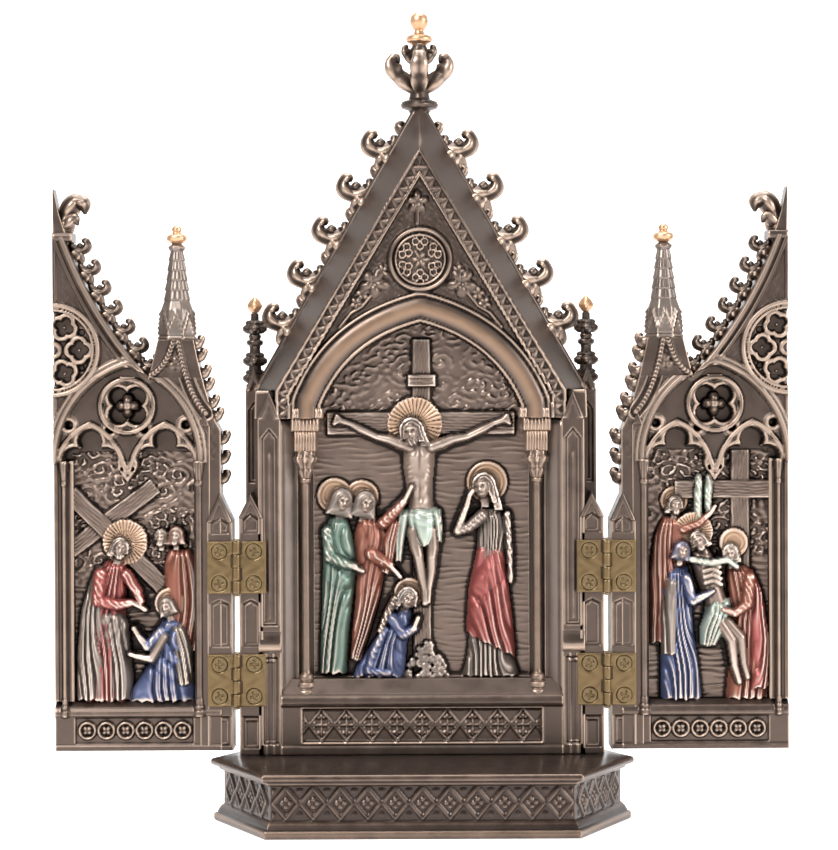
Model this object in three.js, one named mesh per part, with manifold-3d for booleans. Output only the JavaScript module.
// Gothic triptych altarpiece in cold-cast bronze: a gabled shrine on a hexagonal plinth, with two
// hinged wings that fold over its front.
// Millimetres, +Z up, front towards -Y. The origin is on the ground under the middle of the plinth.
// Heights above the plinth are measured from its top face, and those of a relief from its ledge.
import * as THREE from "three";
import { mergeVertices } from "three/addons/utils/BufferGeometryUtils.js";
import Module from "manifold-3d";

const wasm = await Module();
wasm.setup();

// Plinth
const plinthHeight = 22;
const plinthFrontHalf = 54;
const plinthSideHalf = 74.5;
const plinthHalfDepth = 42;
const friezeInset = 4.3;
const friezeFoot = 6.2;
const friezeHead = 4.6;
const lozengePitch = 9.26;
const lozengeRelief = 0.7;

// Fits
const restGap = 0.3;
const hardwareGap = 0.15;
const sink = 0.6;

// Hinges
const hingeLeafLength = 10.35;
const hingeHeight = 18.6;
const leafThickness = 0.9;
const knuckleRadius = 1.45;
const knuckleGap = 0.25;
const pinRadius = 0.6;
const pinHeadRadius = 1.1;
const boreClearance = 0.2;
const screwHeadRadius = 2.65;
const screwShankRadius = 1.1;
const screwLength = 5;
const screwProud = 0.2;
const screwReach = 6.1;
const screwSpread = 5.65;
const hingeHeights = [26.7, 66.6];

// Shrine
const hingeFaceY = 4;
const shrineBackY = 36;
const buttressOuter = 64.4;
const buttressWidth = 8.4;
const buttressShoulder = 84.5;
const buttressPeak = 92.7;
const buttressDepth = 16;
const pierOuter = 57.6;
const pierWidth = 8;
const pierShoulder = 119;
const pierPeak = 129;
const pierWeathering = 40;
const rearPierOuter = 62.9;
const rearPierWidth = 6.5;
const rearPierY = 20;
const rearPierShoulder = 129;
const wallHalf = 59.4;
const gableFoot = 128.7;
const gableHalf = 51.2;
const gableApex = 214.1;
const crestHalf = 58.5;
const crestApex = 230.5;
const gableProud = 0.6;
const crestSetback = 13;
const gableRim = 4.6;
const tympanumDepth = 3;
const crocketCount = 5;
const crocketSize = 9;
const medallionHeight = 175;
const medallionRadius = 11.3;
const nicheHalf = 38;
const archHalf = 35.1;
const archRise = 29.2;
const archSpring = 123.5;
const archMoulding = 10.9;
const nicheLedge = 26.7;
const nicheDepth = 11;
const crossTop = 147.3;
const backArchHalf = 34;
const backArchSpring = 118;
const backArchRise = 44;
const frameSetback = 1;
const columnX = 41;
const columnRadius = 1.5;
const abacusTop = 122.7;
const friezePanelHalf = 42.3;
const friezePanelFoot = 4.5;
const friezePanelHead = 16.5;
const quatrefoilPitch = 8.92;
const quatrefoilCount = 9;

// Wings
const hingeSideGap = 0.85;
const wingMeetGap = 0.85;
const hingeAxisForward = 1.6;
const wingFoot = 1.9;
const wingThickness = 14;
const wingRecess = 7;
const stripInner = 1.45;
const stripWidth = 9;
const stripShoulder = 83;
const stripPeak = 93;
const wingPanelFoot = 19;
const wingPanelMargin = 6.5;
const wingArchHalf = 24.4;
const wingArchSpring = 104.7;
const wingArchRise = 32.8;
const roundelHeight = 123.7;
const roundelRadius = 10.4;
const roseHeight = 143.5;
const roseRadius = 16.5;
const wingCollar = 183.3;
const spikeTip = 200.6;
const turretInset = 21.1;
const turretFoot = 147.3;
const turretBase = 7.2;

const hingeAxisX = buttressOuter + hingeSideGap;
const hingeAxisY = hingeFaceY - hingeAxisForward;
const wingWidth = hingeAxisX - wingMeetGap;

const BRONZE = { color: 0x5a4032, roughness: 0.42, metalness: 0.75 };
const PLINTH_BRONZE = { color: 0x3a261d, roughness: 0.3, metalness: 0.6 };
const BRASS = { color: 0x9a7a3c, roughness: 0.4, metalness: 0.9 };
const SCREW_BRASS = { color: 0x8a6c38, roughness: 0.45, metalness: 0.9 };

// Solids

/** A closed geometry as a solid, with its faces turned outward where mirrored points turned them in. */
function solid(geometry) {
  const bare = new THREE.BufferGeometry();
  bare.setAttribute("position", geometry.getAttribute("position"));
  bare.setIndex(geometry.index);
  const merged = mergeVertices(bare, 1e-4);
  const spots = merged.getAttribute("position");
  const corner = (i) => new THREE.Vector3().fromBufferAttribute(spots, i);
  const faces = [];
  let volume = 0;
  for (let i = 0; i < merged.index.count; i += 3) {
    const [a, b, c] = merged.index.array.slice(i, i + 3);
    if (a === b || b === c || c === a) continue;
    faces.push([a, b, c]);
    volume += corner(a).dot(corner(b).cross(corner(c)));
  }
  const triVerts = new Uint32Array(faces.flatMap(([a, b, c]) => (volume > 0 ? [a, b, c] : [a, c, b])));
  return new wasm.Manifold(new wasm.Mesh({ numProp: 3, vertProperties: spots.array, triVerts }));
}

/** Many geometries or solids joined into one solid. */
function join(...parts) {
  return parts
    .flat()
    .map((part) => (part.isBufferGeometry ? solid(part) : part))
    .reduce((sum, part) => sum.add(part));
}

/** A solid with each of the given geometries or solids cut out of it. */
function cut(body, ...tools) {
  return tools
    .flat()
    .map((tool) => (tool.isBufferGeometry ? solid(tool) : tool))
    .reduce((rest, tool) => rest.subtract(tool), body);
}

/** A named mesh of a finished solid. */
function mesh(name, body, finish) {
  const made = body.getMesh();
  const geometry = new THREE.BufferGeometry();
  geometry.setAttribute("position", new THREE.BufferAttribute(new Float32Array(made.vertProperties), 3));
  geometry.setIndex(new THREE.BufferAttribute(new Uint32Array(made.triVerts), 1));
  geometry.computeVertexNormals();
  const piece = new THREE.Mesh(geometry, new THREE.MeshStandardMaterial({ ...finish, flatShading: true }));
  piece.name = name;
  return piece;
}

/** A shape from corner points. */
function outline(points) {
  return new THREE.Shape(points.map(([x, z]) => new THREE.Vector2(x, z)));
}

/** Corner points of a regular polygon that stands for a circle. */
function circle(x, z, radius, sides, start = 0) {
  return Array.from({ length: sides }, (_, i) => {
    const angle = start + (i / sides) * 2 * Math.PI;
    return [x + radius * Math.cos(angle), z + radius * Math.sin(angle)];
  });
}

/** A shape drawn in the front elevation, made solid from its front face at y = front back to y = back. */
function slab(shape, front, back, bevel = 0) {
  const geometry = new THREE.ExtrudeGeometry(shape, {
    depth: back - front - 2 * bevel,
    curveSegments: 2,
    bevelEnabled: bevel > 0,
    bevelThickness: bevel,
    bevelSize: bevel,
    bevelOffset: -bevel,
    bevelSegments: 1,
  });
  return geometry.rotateX(Math.PI / 2).translate(0, back - bevel, 0);
}

/** A rectangular block between two x, two y and two z values. */
function block(x0, x1, y0, y1, z0, z1) {
  const geometry = new THREE.BoxGeometry(Math.abs(x1 - x0), Math.abs(y1 - y0), Math.abs(z1 - z0));
  return geometry.translate((x0 + x1) / 2, (y0 + y1) / 2, (z0 + z1) / 2);
}

/** A flat band between two outlines. */
function band(outer, inner, front, back, bevel = 0) {
  const shape = outline(outer);
  shape.holes.push(new THREE.Path(inner.map(([x, z]) => new THREE.Vector2(x, z))));
  return slab(shape, front, back, bevel);
}

/** A round disc that faces the front. */
function disc(x, z, radius, sides, front, back) {
  return new THREE.CylinderGeometry(radius, radius, back - front, sides)
    .rotateY(Math.PI / sides)
    .translate(x, (front + back) / 2, z);
}

/** A turned piece about an upright axis, from [radius, height] pairs between two points of the axis. */
function turned(profile, sides, x, y, start = 0) {
  const points = profile.map(([radius, height]) => new THREE.Vector2(radius, height));
  return new THREE.LatheGeometry(points, sides, start).rotateX(Math.PI / 2).translate(x, y, 0);
}

/** A closed skin through rings of equally many points, each end closed by a fan about its middle. */
function loft(rings) {
  const count = rings[0].length;
  const points = rings.flat();
  const faces = [];
  for (let r = 0; r + 1 < rings.length; r++) {
    for (let i = 0; i < count; i++) {
      const a = r * count + i;
      const b = r * count + ((i + 1) % count);
      faces.push(a, b, b + count, a, b + count, a + count);
    }
  }
  const middle = (ring) => ring.reduce((sum, p) => sum.add(p), new THREE.Vector3()).divideScalar(count);
  const first = points.length;
  points.push(middle(rings[0]), middle(rings.at(-1)));
  const last = (rings.length - 1) * count;
  for (let i = 0; i < count; i++) {
    const next = (i + 1) % count;
    faces.push(first, next, i, first + 1, last + i, last + next);
  }
  const geometry = new THREE.BufferGeometry().setFromPoints(points);
  return geometry.setIndex(faces);
}

/** A tapering stem through points given as [x, y, z, radius], used for limbs, leaves and hooks. */
function stem(stations, sides = 4) {
  const spots = stations.map(([x, y, z]) => new THREE.Vector3(x, y, z));
  const rings = spots.map((spot, i) => {
    const ahead = spots[Math.min(i + 1, spots.length - 1)];
    const behind = spots[Math.max(i - 1, 0)];
    const along = ahead.clone().sub(behind).normalize();
    const side = Math.abs(along.y) > 0.9 ? new THREE.Vector3(1, 0, 0) : new THREE.Vector3(0, 1, 0);
    const across = side.cross(along).normalize();
    const over = along.clone().cross(across);
    const radius = stations[i][3];
    return circle(0, 0, radius, sides).map(([a, b]) =>
      spot.clone().addScaledVector(across, a).addScaledVector(over, b),
    );
  });
  return loft(rings);
}

/** An upright strip with a gabled head. */
function gabled(x0, x1, foot, shoulder, peak) {
  return outline([
    [x0, foot],
    [x1, foot],
    [x1, shoulder],
    [(x0 + x1) / 2, peak],
    [x0, shoulder],
  ]);
}

/** A pointed arch over a straight opening, struck from two centres on the springing line. */
function pointedArch(middle, half, foot, spring, rise) {
  const radius = (half * half + rise * rise) / (2 * half);
  const turn = Math.asin(rise / radius);
  const shape = new THREE.Shape();
  shape.moveTo(middle - half, foot);
  shape.lineTo(middle + half, foot);
  shape.lineTo(middle + half, spring);
  shape.absarc(middle + half - radius, spring, radius, 0, turn, false);
  shape.absarc(middle - half + radius, spring, radius, Math.PI - turn, Math.PI, false);
  return shape;
}

/** The shrine's low pointed arch, whose leaves leave the springing line at a slant. */
function lowArch(half, foot, spring, rise) {
  const bowX = 0.74 * half;
  const bowZ = spring + 0.765 * rise;
  const shape = new THREE.Shape();
  shape.moveTo(-half, foot);
  shape.lineTo(half, foot);
  shape.lineTo(half, spring);
  shape.quadraticCurveTo(bowX, bowZ, 0, spring + rise);
  shape.quadraticCurveTo(-bowX, bowZ, -half, spring);
  return shape;
}

// Figures in relief

/** A draped or bare body against y = ground: level rings [x, height, half width, relief] with folds. */
function body(rings, folds, crease, ground) {
  const steps = 2 * folds;
  return loft(
    rings.map(([x, height, half, relief]) => {
      const ring = [];
      for (let i = 0; i <= steps; i++) {
        const t = (2 * i) / steps - 1;
        const bow = Math.sqrt(1 - 0.9 * t * t);
        const fold = i % 2 ? 1 : 1 - crease;
        ring.push(new THREE.Vector3(x + half * t, ground - relief * bow * fold, height));
      }
      ring.push(new THREE.Vector3(x + half, ground + sink, height));
      ring.push(new THREE.Vector3(x - half, ground + sink, height));
      return ring;
    }),
  );
}

/** A head with its hair or veil behind it on a neck, and a halo where one is given. */
function head({ at: [x, height], size, relief, halo, rays }, ground) {
  const skull = new THREE.SphereGeometry(size, 5, 4).scale(0.84, 0.9, 1.14);
  const parts = [
    skull.translate(x, ground - relief - 0.2 * size, height),
    stem(
      [
        [x, ground + sink, height - 0.4 * size, 1.15 * size],
        [x, ground - relief - 0.1 * size, height + 0.3 * size, 1.02 * size],
      ],
      5,
    ),
  ];
  if (halo) {
    const [haloX, haloHeight, radius] = halo;
    const front = ground - relief + (rays ? 0.6 : 0.9) * size;
    parts.push(disc(haloX, haloHeight, radius, rays ? 10 : 8, front, ground + sink));
  }
  return parts;
}

/** A limb in relief through [x, height, relief, radius] points. */
function limb(points, ground) {
  return stem(points.map(([x, height, relief, radius]) => [x, ground - relief, height, radius]));
}

/** A whole figure: its draped body, its head and its limbs. */
function figure({ drapes, person, limbs = [] }, ground) {
  return [
    ...drapes.map(({ rings, folds = 2, crease = 0.24 }) => body(rings, folds, crease, ground)),
    ...(person ? head(person, ground) : []),
    ...limbs.map((points) => limb(points, ground)),
  ];
}

/** A flat beam between two points of a relief. */
function beam([x0, z0], [x1, z1], width, front, back) {
  const length = Math.hypot(x1 - x0, z1 - z0);
  const geometry = new THREE.BoxGeometry(length, back - front, width);
  return geometry
    .rotateY(-Math.atan2(z1 - z0, x1 - x0))
    .translate((x0 + x1) / 2, (front + back) / 2, (z0 + z1) / 2);
}

// Carved ornament

/** A crocket that stands on a sloping edge and hooks up the slope, which leans away to side x. */
function crocket(x, y, z, size, side, lean) {
  const hook = [
    [0.1, -0.45, 0.45],
    [0, 0.3, 0.3],
    [-0.3, 0.85, 0.34],
    [-0.75, 0.8, 0.2],
  ];
  const points = hook.map(([a, b, radius]) => [-side * a * size, 0, b * size, radius * size]);
  return stem(points, 4).rotateY(side * lean).translate(x, y, z);
}

/** A small round knob. */
function knob(x, y, z, radius) {
  return new THREE.OctahedronGeometry(radius, 0).translate(x, y, z);
}

/** A raised lozenge that carries a four-leaved cross. */
function quatrefoil(x, z, radius, front, back) {
  return slab(outline(circle(x, z, radius, 4)), front, back);
}

/** A slim column with a turned foot and a leaf capital. */
function column(x, y, foot, head, radius) {
  const footRings = [
    [0, foot],
    [2 * radius, foot],
    [1.8 * radius, foot + 4],
    [radius, foot + 6.2],
  ];
  const leaves = [
    [radius, head - 8.6],
    [1.9 * radius, head],
    [0, head],
  ];
  return turned([...footRings, ...leaves], 6, x, y);
}

// Plinth

const plinthCorners = [
  [-plinthFrontHalf, -plinthHalfDepth],
  [plinthFrontHalf, -plinthHalfDepth],
  [plinthSideHalf, 0],
  [plinthFrontHalf, plinthHalfDepth],
  [-plinthFrontHalf, plinthHalfDepth],
  [-plinthSideHalf, 0],
].map(([x, y]) => new THREE.Vector2(x, y));

/** The plinth's outline moved in square to every side. */
function plinthRing(inset, height) {
  const inward = (a, b) => new THREE.Vector2(a.y - b.y, b.x - a.x).normalize();
  return plinthCorners.map((corner, i) => {
    const before = inward(plinthCorners.at(i - 1), corner);
    const after = inward(corner, plinthCorners[(i + 1) % plinthCorners.length]);
    const shift = before.clone().add(after).multiplyScalar(inset / (1 + before.dot(after)));
    return new THREE.Vector3(corner.x + shift.x, corner.y + shift.y, height);
  });
}

/** Raised lozenges in a row along one side of the frieze. */
function lozengeRow(start, end) {
  const length = start.distanceTo(end);
  const angle = Math.atan2(end.y - start.y, end.x - start.x);
  const count = Math.floor(length / lozengePitch);
  const height = plinthHeight - friezeHead - friezeFoot;
  const middle = friezeFoot + height / 2;
  const diamond = circle(0, 0, 1, 4).map(([x, z]) => [(x * lozengePitch) / 2.15, (z * height) / 2.15]);
  return Array.from({ length: count }, (_, i) => {
    const share = 0.5 + ((i - (count - 1) / 2) * lozengePitch) / length;
    const spot = start.clone().lerp(end, share);
    return slab(outline(diamond), -lozengeRelief, sink)
      .rotateZ(angle)
      .translate(spot.x, spot.y, middle);
  });
}

function makePlinth() {
  const friezeTop = plinthHeight - friezeHead;
  const levels = [
    [1.5, 0],
    [1.1, 0.8],
    [1.1, 2.7],
    [2.2, 3.1],
    [2.4, 3.7],
    [3.2, 5.2],
    [friezeInset, friezeFoot],
    [friezeInset, friezeTop],
    [2.7, friezeTop + 0.6],
    [2.5, friezeTop + 1.6],
    [0.5, friezeTop + 2],
    [0, plinthHeight - 1.7],
    [0.4, plinthHeight - 0.5],
    [1.5, plinthHeight],
  ];
  const bulk = loft(levels.map(([inset, height]) => plinthRing(inset, height)));
  const corners = plinthRing(friezeInset, 0);
  const carvedSides = [5, 0, 1];
  const rows = carvedSides.map((i) => lozengeRow(corners[i], corners[(i + 1) % corners.length]));
  return join(bulk, rows.flat());
}

// Hinges and screws

/** One screw with its head towards the front, its axis along y at a leaf's hole. */
function screw(x, z) {
  const face = hingeFaceY - hardwareGap - leafThickness;
  const profile = [
    [0, -screwProud],
    [screwHeadRadius, -screwProud],
    [screwShankRadius, leafThickness],
    [0, screwLength],
  ];
  const points = profile.map(([radius, depth]) => new THREE.Vector2(radius, depth));
  return new THREE.LatheGeometry(points, 8).translate(x, face, z);
}

/** The countersunk hole that a screw's head and shank pass through in a leaf. */
function screwSeat(x, z) {
  const face = hingeFaceY - hardwareGap - leafThickness;
  const wide = screwHeadRadius + hardwareGap;
  const narrow = screwShankRadius + hardwareGap;
  const profile = [
    [0, -screwProud],
    [wide, -screwProud],
    [narrow, leafThickness + 0.1],
    [0, leafThickness + 0.1],
  ];
  const points = profile.map(([radius, depth]) => new THREE.Vector2(radius, depth));
  return new THREE.LatheGeometry(points, 8).translate(x, face, z);
}

/** The pilot hole that a screw's shank fills in the casting behind a leaf. */
function pilotHole(x, z) {
  const depth = screwLength - leafThickness + 1;
  return new THREE.CylinderGeometry(screwShankRadius + restGap, screwShankRadius + restGap, 2 * depth, 6)
    .translate(x, hingeFaceY, z);
}

/** The four screw places of one hinge leaf: both heights on the side of the axis that the leaf lies on. */
function screwPlaces(axisX, direction, height) {
  return [-1, 1].map((end) => [axisX + direction * screwReach, height + end * screwSpread]);
}

/** A hinge leaf with two of the four knuckles and its countersunk holes. */
function hingeLeaf(axisX, direction, height, firstKnuckle) {
  const back = hingeFaceY - hardwareGap;
  const front = back - leafThickness;
  const clear = knuckleRadius + 0.45;
  const low = height - hingeHeight / 2;
  const high = height + hingeHeight / 2;
  const pitch = hingeHeight / 4;
  const x = (reach) => axisX + direction * reach;
  const comb = [[x(hingeLeafLength), low], [x(hingeLeafLength), high]];
  const barrels = [];
  for (const i of [3, 2, 1, 0]) {
    const top = low + (i + 1) * pitch - knuckleGap / 2;
    const foot = low + i * pitch + knuckleGap / 2;
    if (i % 2 === firstKnuckle) {
      comb.push([x(0), top], [x(0), foot]);
      const barrel = new THREE.CylinderGeometry(knuckleRadius, knuckleRadius, top - foot, 6);
      barrels.push(barrel.rotateX(Math.PI / 2).translate(axisX, hingeAxisY, (foot + top) / 2));
    } else {
      comb.push([x(clear), top + knuckleGap], [x(clear), foot - knuckleGap]);
    }
  }
  comb[0][1] = low + knuckleGap / 2;
  comb[1][1] = high - knuckleGap / 2;
  const boreSize = 2 * (pinRadius + boreClearance);
  const reach = boreSize / 2;
  const bore = block(axisX - reach, axisX + reach, hingeAxisY - reach, hingeAxisY + reach, low - 1, high + 1);
  const seats = screwPlaces(axisX, direction, height).map(([x, z]) => screwSeat(x, z));
  return cut(join(slab(outline(comb), front, back), barrels), bore, seats);
}

/** A hinge pin with a domed head at each end. */
function hingePin(axisX, height) {
  const reach = hingeHeight / 2;
  const half = [
    [pinRadius, 0],
    [pinRadius, reach + 0.1],
    [pinHeadRadius, reach + 0.1],
    [0, reach + 0.8],
  ];
  const lower = half.map(([radius, z]) => [radius, -z]).reverse().slice(0, -1);
  const upper = half.slice(1);
  return solid(turned([...lower, ...upper], 6, axisX, hingeAxisY).translate(0, 0, height));
}

// Centre shrine

const shrineFront = hingeFaceY + frameSetback;
const nicheBack = shrineFront + nicheDepth;
const pierFront = hingeFaceY;
const gableFront = hingeFaceY - gableProud;
const crestY = gableFront + crestSetback;
const tympanumY = gableFront + tympanumDepth;
const slope = Math.atan2(crestApex - gableFoot, crestHalf);

/** The gable's front triangle moved in square to its rakes. */
function gableTriangle(inset) {
  const lean = Math.atan2(gableApex - gableFoot, gableHalf);
  const half = gableHalf - inset / Math.sin(lean);
  return [
    [-half, gableFoot],
    [half, gableFoot],
    [0, gableApex - inset / Math.cos(lean)],
  ];
}

function shrineBody() {
  const wall = block(-wallHalf, wallHalf, nicheBack - sink, shrineBackY, restGap, gableFoot + 0.5);
  const sides = [-1, 1].map((side) =>
    block(side * (nicheHalf + 4), side * wallHalf, shrineFront + 3, nicheBack, restGap, gableFoot),
  );
  const crest = [
    [-crestHalf, gableFoot],
    [crestHalf, gableFoot],
    [0, crestApex],
  ];
  const rake = loft([
    gableTriangle(0).map(([x, z]) => new THREE.Vector3(x, gableFront, z)),
    crest.map(([x, z]) => new THREE.Vector3(x, crestY, z)),
  ]);
  const roof = slab(outline(crest), crestY, shrineBackY - 3);
  const foot = block(-pierOuter, pierOuter, shrineFront, nicheBack, restGap, nicheLedge);
  const haunch = block(-gableHalf, gableHalf, gableFront, nicheBack, abacusTop, gableFoot);
  return join(wall, sides, rake, roof, foot, haunch);
}

/** The side buttress that carries the hinges, with its own gabled head and sunk panels. */
function lowButtress(side) {
  const outer = side * buttressOuter;
  const inner = side * (buttressOuter - buttressWidth);
  const shape = gabled(outer, inner, restGap, buttressShoulder, buttressPeak);
  return slab(shape, hingeFaceY, hingeFaceY + buttressDepth);
}

/** The sunk panels of a gabled strip: one above, one between and one below its two hinges. */
function stripPanels(outer, inner, foot, shoulder) {
  const edge = 1.3 * Math.sign(inner - outer);
  const reach = hingeHeight / 2 + 1.6;
  const rows = [
    [foot + 2.4, hingeHeights[0] - reach - 3, hingeHeights[0] - reach],
    [hingeHeights[0] + reach, hingeHeights[1] - reach, hingeHeights[1] - reach],
    [hingeHeights[1] + reach, shoulder - 1, shoulder + 2.2],
  ];
  return rows.map(([low, head, peak]) =>
    slab(gabled(outer + edge, inner - edge, low, head, peak), hingeFaceY - 1, hingeFaceY + 0.9),
  );
}

/** The tall front pier beside the arch, narrower above its weathering than below. */
function frontPier(side) {
  const outer = side * pierOuter;
  const inner = side * (pierOuter - pierWidth);
  const shaft = slab(gabled(outer, inner, pierWeathering, pierShoulder, pierPeak), pierFront, nicheBack);
  const foot = block(outer, inner, pierFront, nicheBack, restGap, pierWeathering - 2);
  const ledge = block(outer, inner - side * 0.8, pierFront, nicheBack, pierWeathering - 2, pierWeathering);
  const edge = side * 1.5;
  const panel = slab(
    gabled(outer - edge, inner + edge, pierWeathering + 4, pierShoulder - 4, pierShoulder + 3.5),
    pierFront - 1,
    pierFront + 0.9,
  );
  const lowPanel = block(outer - edge, inner + edge, pierFront - 1, pierFront + 0.7, 4, pierWeathering - 5);
  return cut(join(shaft, foot, ledge), panel, lowPanel);
}

/** The set-back pier at the wall's corner, with gablets and a crocketed pinnacle. */
function rearPier(side) {
  const middle = side * (rearPierOuter - rearPierWidth / 2);
  const far = side * rearPierOuter;
  const near = side * (rearPierOuter - rearPierWidth);
  const deep = rearPierY + 1.6 * rearPierWidth;
  const shaft = slab(gabled(far, near, restGap, rearPierShoulder, rearPierShoulder + 8), rearPierY, deep);
  const spireY = rearPierY + rearPierWidth / 2 + 1;
  const spire = turned(
    [
      [0, rearPierShoulder],
      [2.9, rearPierShoulder],
      [1.9, rearPierShoulder + 19],
      [2.5, rearPierShoulder + 20.4],
      [1.4, rearPierShoulder + 25],
      [2.4, rearPierShoulder + 29.6],
      [0, rearPierShoulder + 33.4],
    ],
    6,
    middle,
    spireY,
  );
  const knobs = [8, 13.5].flatMap((rise) =>
    [-1, 1].map((way) => knob(middle + way * 2.6, spireY, rearPierShoulder + rise, 1.7)),
  );
  return [shaft, spire, ...knobs];
}

/** The fluted abacus and block over a column, with the leaf capital and the shaft below. */
function columnAndCapital(side) {
  const flutes = 5;
  const fluted = (half, front, foot, top) => {
    const points = [[-half, nicheBack]];
    for (let i = 0; i <= 2 * flutes; i++) {
      points.push([-half + (i * half) / flutes, front + (i % 2 ? 0.5 : 0)]);
    }
    points.push([half, nicheBack]);
    const shape = outline(points);
    const geometry = new THREE.ExtrudeGeometry(shape, { depth: top - foot, bevelEnabled: false });
    return geometry.translate(side * columnX, 0, foot);
  };
  const near = side * (columnX - 4.8);
  const far = side * (columnX + 4.8);
  return [
    fluted(6.3, hingeFaceY + 0.4, abacusTop - 3.6, abacusTop),
    block(near, far, hingeFaceY + 1.4, nicheBack, abacusTop - 8.2, abacusTop - 3.6),
    fluted(3.7, hingeFaceY + 1.8, abacusTop - 15.4, abacusTop - 8.2),
    column(side * columnX, hingeFaceY + 4.6, nicheLedge - 5.4, abacusTop - 15.4, columnRadius),
  ];
}

/** The wide half-round moulding round the arch. */
function archRing() {
  const foot = archSpring - 1.4;
  const half = archMoulding / 2;
  const outer = lowArch(archHalf + archMoulding, foot, archSpring, archRise + archMoulding * 0.95);
  const middle = lowArch(archHalf + half, foot, archSpring, archRise + half);
  const opening = lowArch(archHalf, archSpring - 8, archSpring, archRise);
  const low = slab(outer, tympanumY - 1.6, nicheBack, 0.8);
  const high = slab(middle, gableFront - 0.3, nicheBack, 0.8);
  return { ring: join(low, high), opening: slab(opening, gableFront - 4, nicheBack) };
}

/** The round window in the gable: a rim round a flower of six leaves. */
function medallion() {
  const front = tympanumY - 1.8;
  const rim = band(
    circle(0, medallionHeight, medallionRadius, 12),
    circle(0, medallionHeight, medallionRadius - 1.8, 12),
    front,
    tympanumY + sink,
  );
  const leaves = circle(0, 0, medallionRadius - 2.6, 12).map(([x, z], i) =>
    i % 2 ? [0.4 * x, medallionHeight + 0.4 * z] : [x, medallionHeight + z],
  );
  return [rim, slab(outline(leaves), front + 0.4, tympanumY + sink)];
}

/** The finial: a turned stem with two knops, four curled leaves and a small ball. */
function finial() {
  const z = crestApex;
  const y = crestY + 4;
  const stemProfile = [
    [0, z - 14],
    [4.4, z - 14],
    [3.6, z - 2],
    [6.4, z - 0.6],
    [6.4, z + 1.4],
    [3.6, z + 3],
    [4.3, z + 17.6],
    [3.1, z + 22],
    [4.7, z + 24.2],
    [1.7, z + 28],
    [3.2, z + 30.8],
    [0, z + 34],
  ];
  const leaves = [0, 1, 2, 3].map((i) => {
    const angle = (i * Math.PI) / 2;
    const spot = (out, up, radius) => [out, 0.01, z + up, radius];
    const leaf = stem(
      [spot(2.5, 7, 2.6), spot(6.6, 10, 2.4), spot(9, 15, 2.2), spot(11, 14.6, 0.8)],
    );
    return leaf.rotateZ(angle).translate(0, y, 0);
  });
  return [turned(stemProfile, 8, 0, y), ...leaves];
}

/** Big leafy crockets up both rakes of the gable, with a small curl between each two. */
function gableCrockets() {
  const rise = crestApex - gableFoot;
  const lean = Math.PI / 2 - slope;
  const y = crestY + 5;
  return [-1, 1].flatMap((side) =>
    Array.from({ length: crocketCount }, (_, i) => {
      const share = 0.225 + i * 0.152;
      const curl = share + 0.072;
      return [
        crocket(side * crestHalf * (1 - share), y, gableFoot + rise * share, crocketSize, side, lean),
        knob(side * (crestHalf * (1 - curl) + 0.8), crestY + 4, gableFoot + rise * curl + 0.8, 2.4),
      ];
    }).flat(),
  );
}

/** The lower front: a sill over a sunk band with a row of raised quatrefoils. */
function shrineFoot() {
  const y = shrineFront;
  const half = friezePanelHalf + 2;
  const top = friezePanelHead + 1.5;
  const sill = block(-half, half, y - 1.4, nicheBack, top, nicheLedge - 5.4);
  const base = block(-half, half, y - 1, nicheBack, restGap, top);
  const panel = block(-friezePanelHalf, friezePanelHalf, y - 3, y + 0.6, friezePanelFoot, friezePanelHead);
  const middle = (friezePanelFoot + friezePanelHead) / 2;
  const crosses = Array.from({ length: quatrefoilCount }, (_, i) => {
    const x = (i - (quatrefoilCount - 1) / 2) * quatrefoilPitch;
    return quatrefoil(x, middle, 4.1, y - 0.5, y + 1.2);
  });
  return { solidParts: [sill, base], cuts: [panel], crosses };
}

/** The cross with its title board and the crucified figure. */
function crucifix(ground) {
  const wood = ground - 2.2;
  const post = beam([0.3, 6], [0.3, crossTop - nicheLedge], 6.7, wood, ground + sink);
  const bar = beam([-33.6, 90.4], [33.4, 90.4], 8.1, wood - 0.4, ground + sink);
  const board = beam([-4.5, 105.6], [5.4, 105.6], 4.6, wood - 1, ground + sink);
  const chest = {
    rings: [
      [-0.6, 46, 3.6, 4.4],
      [-0.2, 60, 3.9, 5.2],
      [-0.9, 68, 4.3, 5.6],
      [-1.4, 78, 5, 6.4],
      [-1.6, 83, 5.2, 5.8],
    ],
    folds: 2,
    crease: 0.06,
  };
  const cloth = {
    rings: [
      [-1.6, 44, 3.9, 5],
      [-1, 49, 5.2, 6.4],
      [-0.6, 58, 5.4, 6.8],
      [-0.8, 62, 4.8, 6.4],
    ],
    folds: 2,
  };
  return [
    post,
    bar,
    board,
    ...figure(
      {
        drapes: [chest, cloth],
        person: { at: [-3.4, 86.8], size: 3.9, relief: 5, halo: [-2.2, 90, 9.9], rays: true },
        limbs: [
          [[-5.4, 81.4, 4.6, 2.2], [-14, 84.6, 3.8, 1.7], [-27.8, 91, 3, 1.4]],
          [[4.2, 82.4, 4.6, 2.2], [14, 84.8, 3.8, 1.7], [28.4, 90.2, 3, 1.4]],
          [[-2, 48, 4.4, 2.6], [-0.6, 38, 5, 2.2], [1.2, 27.4, 3.4, 1.5]],
          [[1.8, 48, 4.2, 2.6], [3, 38, 4.4, 2.1], [1.8, 26.6, 3, 1.4]],
        ],
      },
      ground,
    ),
  ];
}

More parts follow.
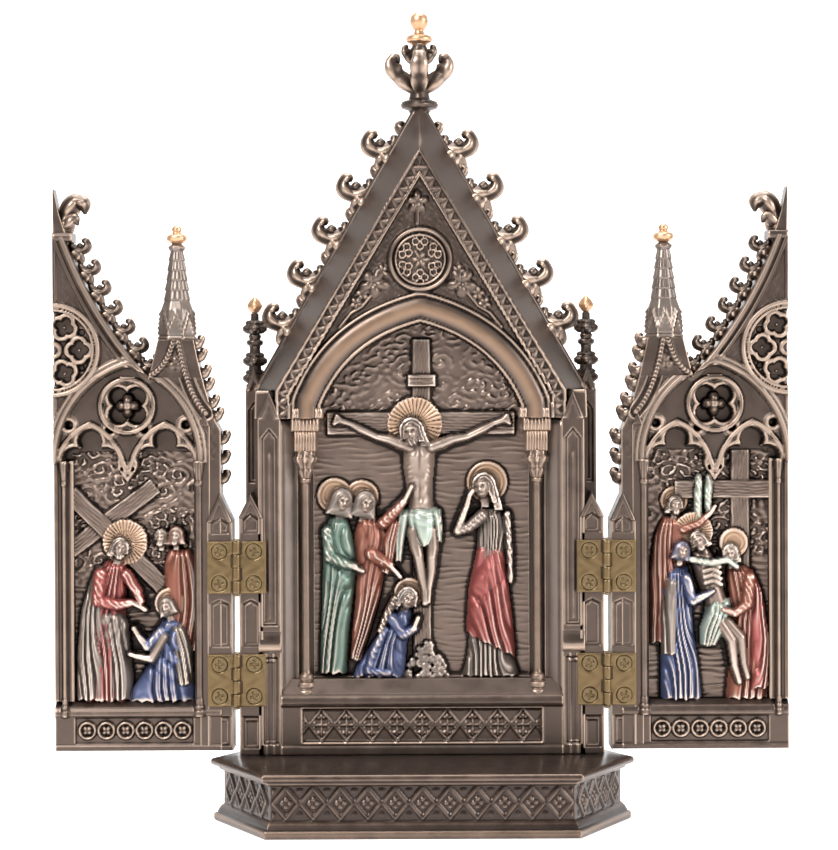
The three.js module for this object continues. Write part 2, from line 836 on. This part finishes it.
/** The mourners under the cross, with a heap of stones at its foot. */
function mourners(ground) {
  const standing = (x, lean, half, top, relief = 5) => ({
    rings: [
      [x, 0, half, relief * 1.05],
      [x + 0.2 * lean, 0.3 * top, half * 0.92, relief],
      [x + 0.5 * lean, 0.6 * top, half * 0.98, relief * 1.1],
      [x + 0.8 * lean, 0.85 * top, half * 0.95, relief * 1.05],
      [x + lean, top, half * 0.55, relief * 0.7],
    ],
  });
  return [
    ...figure(
      {
        drapes: [standing(-29.6, 0.2, 6.1, 59)],
        person: { at: [-29.4, 63.4], size: 3.3, relief: 3.6, halo: [-30.9, 64.2, 6.3] },
        limbs: [[[-33, 52, 4.4, 2], [-30, 42, 6.2, 1.8], [-26.6, 50, 5.6, 1.2]]],
      },
      ground,
    ),
    ...figure(
      {
        drapes: [standing(-18.6, -0.8, 6.2, 58.5, 4.6)],
        person: { at: [-19.8, 62.4], size: 3.3, relief: 3.6, halo: [-21.4, 64, 6] },
        limbs: [
          [[-16, 55, 4.4, 2.1], [-10, 60, 5, 1.8], [-3.4, 66.6, 5.2, 1.1]],
          [[-16, 50, 5.4, 2], [-13.4, 40, 6, 1.7], [-9, 38, 5.2, 1.1]],
        ],
      },
      ground,
    ),
    ...figure(
      {
        drapes: [
          {
            rings: [
              [-13.4, 0, 9.8, 6.4],
              [-13.6, 4, 9.2, 7],
              [-11.4, 11, 6.6, 6.6],
              [-9.2, 18, 5.2, 6],
              [-7.2, 24, 3.2, 4.6],
            ],
            folds: 3,
          },
        ],
        person: { at: [-5.4, 28.4], size: 3.2, relief: 4.6, halo: [-3.8, 31.4, 5.1] },
        limbs: [[[-8, 21, 6.4, 1.8], [-3.6, 17, 7, 1.6], [-0.4, 21.6, 6.2, 1]]],
      },
      ground,
    ),
    ...figure(
      {
        drapes: [
          standing(22.8, 1, 8, 46, 5.2),
          { rings: [[23, 40, 7.6, 5.2], [24.4, 54, 6.6, 5.4], [24, 63, 4.2, 4]] },
        ],
        person: { at: [22.2, 68.8], size: 3.6, relief: 4, halo: [24.1, 69.4, 7.4] },
        limbs: [
          [[28.4, 58, 4.6, 2.2], [23.6, 51.6, 6.4, 1.9], [17, 62.6, 5.6, 1.2]],
          [[19.4, 58, 4.6, 1.9], [16.4, 53, 5.8, 1.7], [16, 62, 5.2, 1.1]],
        ],
      },
      ground,
    ),
    ...[[-3.2, 2.6, 3.4], [2, 4.6, 4.4], [6.6, 2.2, 3]].map(([x, z, size]) =>
      new THREE.IcosahedronGeometry(size, 0).translate(x, ground - 0.4 * size, z),
    ),
  ];
}

function makeShrine() {
  const { ring, opening } = archRing();
  const { solidParts, cuts, crosses } = shrineFoot();
  const tympanum = slab(outline(gableTriangle(gableRim)), gableFront - 3, tympanumY);
  const niche = block(-nicheHalf, nicheHalf, gableFront - 4, nicheBack, nicheLedge, archSpring - 4);
  const buttresses = [-1, 1].map((side) => {
    const inner = side * (buttressOuter - buttressWidth);
    return cut(solid(lowButtress(side)), stripPanels(side * buttressOuter, inner, 0, buttressShoulder - 2));
  });
  const shell = cut(shrineBody(), tympanum);
  const framed = cut(join(shell, ring), opening, niche);
  const base = cut(join(solidParts), cuts);
  const figures = [...crucifix(nicheBack), ...mourners(nicheBack)];
  const placed = figures.map((part) => part.translate(0, 0, nicheLedge));
  const backArch = pointedArch(0, backArchHalf, 20, backArchSpring, backArchRise);
  const backPanel = slab(backArch, shrineBackY - 1.2, shrineBackY + 2);
  const columns = [-1, 1].flatMap(columnAndCapital);
  const piers = [-1, 1].flatMap((side) => [frontPier(side), ...rearPier(side)]);
  const crest = [...finial(), ...gableCrockets()];
  const whole = join(framed, base, crosses, columns, piers, buttresses, medallion(), crest, placed);
  const holes = [-1, 1].flatMap((side) =>
    hingeHeights.flatMap((height) => {
      const places = screwPlaces(side * hingeAxisX, -side, height);
      return places.map(([x, z]) => pilotHole(x, z));
    }),
  );
  return cut(whole, backPanel, holes);
}

// Wings, drawn with u as the distance from the hinge axis

const wingFront = hingeFaceY + 0.5;
const wingGround = wingFront + wingRecess;
const wingBack = hingeFaceY + wingThickness;
const wingInner = stripInner + stripWidth;
const panelMiddle = (wingInner + wingWidth) / 2 - 0.75;

/** The wing's whole outline: the half gable with its hollow rake, the valley and the turret's gablet. */
function wingOutline(side) {
  const x = (u) => side * (hingeAxisX + u);
  const shape = new THREE.Shape();
  const turretNear = turretInset - turretBase;
  const turretFar = turretInset + turretBase;
  shape.moveTo(x(wingInner - 1), wingFoot);
  shape.lineTo(x(wingWidth), wingFoot);
  shape.lineTo(x(wingWidth), wingCollar);
  shape.lineTo(x(wingWidth - 4), wingCollar);
  shape.quadraticCurveTo(x(wingWidth - 14), roseHeight + 12, x(turretFar + 2.4), wingArchSpring + 29);
  shape.lineTo(x(turretFar - 1), turretFoot);
  shape.lineTo(x(turretNear + 1), turretFoot);
  shape.quadraticCurveTo(x(turretNear - 1.6), turretFoot - 14, x(wingInner - 3), wingArchSpring + 14);
  shape.lineTo(x(wingInner - 5), wingArchSpring + 10);
  shape.lineTo(x(wingInner - 5), stripShoulder - 4);
  shape.lineTo(x(wingInner - 1), stripShoulder - 4);
  return shape;
}

/** The tracery in the wing's arch: two trefoil-headed lights under a roundel, a pendant between them. */
function wingTracery(middle) {
  const foot = wingArchSpring - 9;
  const inside = pointedArch(middle, wingArchHalf - 1.6, foot, wingArchSpring, wingArchRise - 2.4);
  const plate = slab(inside, wingFront + 1, wingGround + sink);
  const front = wingFront - 1;
  const cuts = [];
  for (const way of [-1, 1]) {
    const light = middle + way * 13.3;
    const half = [
      [8.6, foot - 1],
      [8.6, wingArchSpring - 3.4],
      [9.4, wingArchSpring - 0.6],
      [6.6, wingArchSpring + 1.9],
      [3.8, wingArchSpring + 0.4],
      [4.4, wingArchSpring + 5.4],
      [0, wingArchSpring + 8.8],
    ];
    const mirrored = half.slice(0, -1).reverse().map(([a, z]) => [-a, z]);
    cuts.push(slab(outline([...half, ...mirrored].map(([a, z]) => [light + a, z])), front, wingGround));
  }
  for (let i = 0; i < 4; i++) {
    const angle = ((i + 0.5) * Math.PI) / 2;
    const x = middle + 4.1 * Math.cos(angle);
    const z = roundelHeight + 4.1 * Math.sin(angle);
    cuts.push(disc(x, z, 3.3, 5, front, wingGround - 1.6));
  }
  const rim = band(
    circle(middle, roundelHeight, roundelRadius, 10),
    circle(middle, roundelHeight, roundelRadius - 1.5, 10),
    wingFront + 0.3,
    wingGround + sink,
  );
  const boss = disc(middle, roundelHeight, 2.2, 4, wingFront + 0.6, wingGround);
  const pendant = turned(
    [
      [0, 96.6],
      [2.2, 101],
      [0, 106],
    ],
    4,
    middle,
    wingFront + 2.6,
  );
  const post = block(middle - 1.3, middle + 1.3, wingFront + 1.6, wingGround + sink, foot + 4.3, foot + 16.3);
  return join(cut(solid(plate), cuts), rim, boss, pendant, post);
}

/** Half of a rose window on the wing's outer edge: a rim round three sunk lobes and half a hub. */
function halfRose(edge, side) {
  const lobes = [-1, 0, 1].map((i) => {
    const angle = i * 1.05;
    const x = edge - side * 9.4 * Math.cos(angle);
    return disc(x, roseHeight + 9.4 * Math.sin(angle), 4.5, 6, wingFront - 2, wingFront + 3.2);
  });
  return lobes;
}

/** The turret: a gabled octagon, a shingled spire, a collar, a ball and a small tip. */
function turret(axis, y) {
  const z = turretFoot;
  const spire = turned(
    [
      [0, z - 6],
      [turretBase - 0.6, z - 6],
      [turretBase, z],
      [turretBase - 1.6, z + 10.6],
      [4.9, z + 13.8],
      [2.5, z + 31.4],
      [3.1, z + 36],
      [0, z + 40.5],
    ],
    8,
    axis,
    y,
    Math.PI / 8,
  );
  const gablets = [-1, 0, 1].map((i) => {
    const shape = outline([
      [-2.9, 0],
      [2.9, 0],
      [0, 8.4],
    ]);
    return slab(shape, -turretBase - 0.5, -turretBase + 3)
      .rotateZ((i * Math.PI) / 4)
      .translate(axis, y, z + 1.6);
  });
  return [spire, ...gablets];
}

/** The raised mouldings of the wing: its arch, its rake and its turret's ogee gablet. */
function wingMouldings(side, middle) {
  const x = (u) => side * (hingeAxisX + u);
  const springing = wingArchSpring;
  const outer = pointedArch(middle, wingArchHalf + 1.2, springing - 3, springing, wingArchRise + 1.8);
  const inner = pointedArch(middle, wingArchHalf - 1.6, springing - 20, springing, wingArchRise - 2.4);
  const arch = slab(outer, wingFront - 1, wingGround, 0.5);
  const opening = slab(inner, wingFront - 4, wingGround + 4);
  const rake = new THREE.Shape();
  rake.moveTo(x(wingWidth - 1), wingCollar + 0.5);
  rake.lineTo(x(wingWidth - 4.4), wingCollar + 0.5);
  const valley = turretInset + turretBase;
  rake.quadraticCurveTo(x(wingWidth - 14.4), roseHeight + 12.6, x(valley + 2), wingArchSpring + 29);
  rake.lineTo(x(valley + 4.6), wingArchSpring + 26.2);
  rake.quadraticCurveTo(x(wingWidth - 11), roseHeight + 11, x(wingWidth - 1), wingCollar - 14);
  const crossing = wingInner + 0.6;
  const left = new THREE.Shape();
  left.moveTo(x(turretInset - 1), turretFoot);
  left.quadraticCurveTo(x(turretInset - 5), turretFoot - 14, x(crossing), wingArchSpring + 15.8);
  left.lineTo(x(crossing + 3), wingArchSpring + 15.2);
  left.quadraticCurveTo(x(turretInset - 2), turretFoot - 16, x(turretInset + 1), turretFoot - 4);
  const right = new THREE.Shape();
  right.moveTo(x(turretInset + 1), turretFoot);
  right.quadraticCurveTo(x(turretInset + 4), turretFoot - 12, x(turretInset + 8.6), wingArchSpring + 31);
  right.lineTo(x(turretInset + 7.4), wingArchSpring + 29);
  right.quadraticCurveTo(x(turretInset + 2), turretFoot - 13, x(turretInset - 1), turretFoot - 4);
  const bands = [rake, left, right].map((shape) => slab(shape, wingFront - 1, wingGround));
  return { arch: cut(solid(arch), opening), bands };
}

/** The wing's architecture without its relief. */
function wingFrame(side) {
  const x = (u) => side * (hingeAxisX + u);
  const middle = x(panelMiddle);
  const sheet = slab(wingOutline(side), wingFront, wingBack);
  const post = gabled(x(stripInner), x(wingInner), wingFoot, stripShoulder, stripPeak);
  const strip = slab(post, hingeFaceY, wingBack);
  const near = x(wingInner + 4.9);
  const far = x(wingWidth - wingPanelMargin);
  const niche = block(near, far, wingFront - 2, wingGround, wingPanelFoot, wingArchSpring - 2);
  const half = wingArchHalf - 1.6;
  const light = pointedArch(middle, half, wingArchSpring - 9, wingArchSpring, wingArchRise - 2.4);
  const archway = slab(light, wingFront - 2, wingGround);
  const friezeCut = block(near, far, wingFront - 2, wingFront + 1, wingFoot + 2.3, wingPanelFoot - 5.3);
  const backArch = slab(pointedArch(middle, 20, 16, wingArchSpring - 4, 30), wingBack - 1.2, wingBack + 2);
  const halfCircle = circle(0, roseHeight, roseRadius - 2, 12, -Math.PI / 2).slice(0, 7);
  const roseCut = slab(
    outline(halfCircle.map(([reach, height]) => [x(wingWidth + 1 - reach * 1.06), height])),
    wingFront - 2,
    wingFront + 0.8,
  );
  const { arch, bands } = wingMouldings(side, middle);
  const columns = [wingInner + 2.8, wingWidth - 3.9].map((u) =>
    column(x(u), wingFront + 0.5, wingPanelFoot - 3.5, wingArchSpring - 1, 1.4),
  );
  const shell = cut(join(sheet, strip), niche, archway, friezeCut, roseCut, backArch);
  const top = wingArchSpring + 16;
  const pilaster = block(x(wingInner - 1), x(wingInner + 2.6), hingeFaceY, wingBack - 4, wingFoot, top);
  const parts = [shell, arch, ...bands, wingTracery(middle), ...columns, pilaster];
  const panels = stripPanels(x(stripInner), x(wingInner), wingFoot, stripShoulder - 2);
  const carved = cut(join(parts), panels, halfRose(x(wingWidth), side));
  const spire = turret(x(turretInset), wingFront + turretBase - 0.8);
  return join(carved, spire, wingCrockets(side), wingCrown(side));
}

/** Crockets along the wing's hollow rake and knobs down the outside of its turret's gablet. */
function wingCrockets(side) {
  const spot = ([u, z]) => new THREE.Vector2(u, z);
  const along = (...ends) => new THREE.QuadraticBezierCurve(...ends.map(spot));
  const valley = [turretInset + turretBase + 2.4, wingArchSpring + 29];
  const rake = along([wingWidth - 4, wingCollar], [wingWidth - 14, roseHeight + 12], valley);
  const near = turretInset - turretBase;
  const foot = [wingInner - 3, wingArchSpring + 14];
  const gablet = along([near + 1, turretFoot], [near - 1.6, turretFoot - 14], foot);
  const y = wingFront + 4;
  const at = (curve, share) => {
    const spot = curve.getPoint(share);
    return [side * (hingeAxisX + spot.x), y, spot.y];
  };
  return [
    ...[0.14, 0.34, 0.53, 0.7, 0.88].map((share) => {
      const [x, , z] = at(rake, share);
      return crocket(x, y, z + 0.6, 5.6, -side, 0.85);
    }),
    ...[0.12, 0.36, 0.58, 0.78, 0.96].map((share) => knob(...at(gablet, share), 2.3)),
  ];
}

/** The top of the wing's outer edge: a moulded collar, a curled leaf and a spike. */
function wingCrown(side) {
  const x = (u) => side * (hingeAxisX + u);
  const y = wingFront + 5;
  const edge = x(wingWidth);
  const inner = x(wingWidth - 6);
  const collar = block(edge, inner, wingFront - 0.4, wingBack - 3, wingCollar - 1.5, wingCollar + 1.5);
  const spike = slab(
    outline([
      [x(wingWidth), wingCollar],
      [x(wingWidth - 5.4), wingCollar],
      [x(wingWidth - 2.6), wingCollar + 8],
      [x(wingWidth - 0.2), spikeTip],
    ]),
    wingFront + 1,
    wingBack - 5,
  );
  const leaf = stem(
    [
      [x(wingWidth - 3.4), y, wingCollar + 1, 2.3],
      [x(wingWidth - 4.2), y, wingCollar + 8, 2.4],
      [x(wingWidth - 7), y, wingCollar + 12.4, 2.2],
      [x(wingWidth - 10.2), y, wingCollar + 9.6, 1],
    ],
    6,
  );
  return [collar, spike, leaf];
}

/** The left relief: a bent figure under the beams of a cross, meeting a kneeling woman. */
function leftRelief(ground) {
  const wood = ground - 2.4;
  return [
    beam([-21.3, 73.4], [12, 41.3], 6.5, wood - 0.6, ground + sink),
    beam([-21.7, 48.9], [8.2, 71.1], 6.5, wood, ground + sink),
    ...figure(
      {
        drapes: [
          {
            rings: [
              [-12.4, 0, 8, 5],
              [-13, 16, 7.4, 5.2],
              [-12.6, 32, 7.6, 5.8],
              [-9.4, 44, 6.6, 5.8],
              [-5.6, 50, 4, 4.4],
            ],
            folds: 3,
          },
        ],
        person: { at: [-2, 53.4], size: 3.7, relief: 4.4, halo: [-2.5, 56.6, 8], rays: true },
        limbs: [
          [[-9, 44, 5.4, 2.6], [-4.4, 36, 6.6, 2.1], [4.2, 34.6, 5.6, 1.2]],
          [[-13, 42, 5.4, 2.6], [-15.4, 32, 6.4, 2.1], [-9, 28, 6.2, 1.2]],
        ],
      },
      ground,
    ),
    ...figure(
      {
        drapes: [
          {
            rings: [
              [9.4, 0, 10.8, 5.4],
              [10.3, 6.5, 9.5, 6],
              [12.6, 16, 7, 6],
              [13.6, 24, 5.6, 5.4],
              [12.6, 30, 3, 3.8],
            ],
            folds: 3,
          },
        ],
        person: { at: [11.6, 33.6], size: 3.2, relief: 4, halo: [12.8, 35, 5.3] },
        limbs: [[[10.6, 25, 4.2, 2], [4.6, 21, 5.4, 1.7], [2.4, 27, 5.4, 1]]],
      },
      ground,
    ),
    ...figure(
      {
        drapes: [{ rings: [[15.4, 34, 5.6, 3.4], [15.6, 46, 5.8, 3.8], [15.4, 54, 4.4, 2.8]] }],
        person: { at: [15.4, 58.6], size: 2.9, relief: 2.8 },
      },
      ground,
    ),
    ...figure({ drapes: [], person: { at: [10.2, 57.4], size: 2.7, relief: 2.4 } }, ground),
  ];
}

/** The right relief: a body lowered from the cross into the arms of the mourners. */
function rightRelief(ground) {
  const wood = ground - 2.2;
  return [
    beam([10.7, 10], [10.7, 88.6], 7, wood, ground + sink),
    beam([-12.4, 74.5], [20.9, 74.5], 6.7, wood - 0.5, ground + sink),
    ...figure(
      {
        drapes: [{ rings: [[-13.6, 40, 5.4, 3.4], [-13.8, 56, 5.4, 4], [-13, 64, 3.8, 3]] }],
        person: { at: [-12.8, 69], size: 2.9, relief: 3, halo: [-12.6, 70, 4.9] },
      },
      ground,
    ),
    ...figure(
      {
        drapes: [
          {
            rings: [[4, 26, 4.6, 6.6], [1, 38, 4.4, 7], [-1.4, 48, 4.8, 6.6], [-3.6, 54, 3.4, 5]],
            folds: 2,
            crease: 0.08,
          },
        ],
        person: { at: [-5.4, 57], size: 3.5, relief: 5, halo: [-5.9, 59.6, 6.9], rays: true },
        limbs: [
          [[3.4, 30, 7, 2.3], [7.6, 20, 6.6, 2], [11.6, 9.6, 5.2, 1.3]],
          [[1.6, 28, 6.6, 2.3], [3.2, 18, 6.6, 1.9], [6.4, 8, 5.4, 1.2]],
        ],
      },
      ground,
    ),
    ...figure(
      {
        drapes: [
          {
            rings: [
              [-9.6, 0, 7.2, 5],
              [-9.8, 16, 6.4, 5.4],
              [-9.8, 32, 6.6, 6.2],
              [-9.8, 44, 5, 5],
              [-10, 48, 3, 3.8],
            ],
            folds: 3,
          },
        ],
        person: { at: [-10.6, 52.4], size: 3.1, relief: 4.6 },
        limbs: [[[-11, 42, 6, 2], [-7, 36, 7.6, 1.8], [-0.6, 40, 7.6, 1.1]]],
      },
      ground,
    ),
    ...figure(
      {
        drapes: [
          {
            rings: [
              [13, 0, 7.4, 5],
              [12.6, 16, 6.8, 5.6],
              [11.8, 32, 7.4, 6],
              [10.6, 42, 5.4, 5],
              [8.4, 47, 3.2, 3.8],
            ],
            folds: 3,
          },
        ],
        person: { at: [6.8, 50.4], size: 3.2, relief: 4.4, halo: [8.2, 57.8, 6] },
        limbs: [[[10, 42, 6, 2.2], [6.6, 34, 7.8, 1.9], [0.8, 36, 7.6, 1.1]]],
      },
      ground,
    ),
  ];
}

function makeWing(side) {
  const middle = side * (hingeAxisX + panelMiddle);
  const relief = (side < 0 ? leftRelief : rightRelief)(wingGround);
  const half = 21;
  const foot = wingPanelFoot - 0.5;
  const ledge = block(middle - half, middle + half, wingFront + 1, wingGround + sink, foot, foot + 1.3);
  const placed = relief.map((part) => part.translate(middle, 0, wingPanelFoot));
  const holes = hingeHeights.flatMap((height) =>
    screwPlaces(side * hingeAxisX, side, height).map(([x, z]) => pilotHole(x, z)),
  );
  return cut(join(wingFrame(side), ledge, placed), holes);
}

// Assembly

const altarpiece = new THREE.Group();
altarpiece.add(mesh("plinth", makePlinth(), PLINTH_BRONZE));

const aboveThePlinth = new THREE.Group();
aboveThePlinth.position.z = plinthHeight;
altarpiece.add(aboveThePlinth);
aboveThePlinth.add(mesh("centre_shrine", makeShrine(), BRONZE));

for (const [hand, side] of [["left", -1], ["right", 1]]) {
  aboveThePlinth.add(mesh(`${hand}_wing`, makeWing(side), BRONZE));
  for (const [level, height] of [["lower", hingeHeights[0]], ["upper", hingeHeights[1]]]) {
    const hinge = `${hand}_${level}`;
    const axis = side * hingeAxisX;
    aboveThePlinth.add(mesh(`${hinge}_hinge_pin`, hingePin(axis, height), BRASS));
    for (const [owner, direction, knuckle] of [["shrine", -side, 0], ["wing", side, 1]]) {
      aboveThePlinth.add(mesh(`${hinge}_${owner}_leaf`, hingeLeaf(axis, direction, height, knuckle), BRASS));
      screwPlaces(axis, direction, height).forEach(([x, z], i) => {
        const name = `${hinge}_${owner}_screw_${i ? "top" : "bottom"}`;
        aboveThePlinth.add(mesh(name, solid(screw(x, z)), SCREW_BRASS));
      });
    }
  }
}

export default altarpiece;
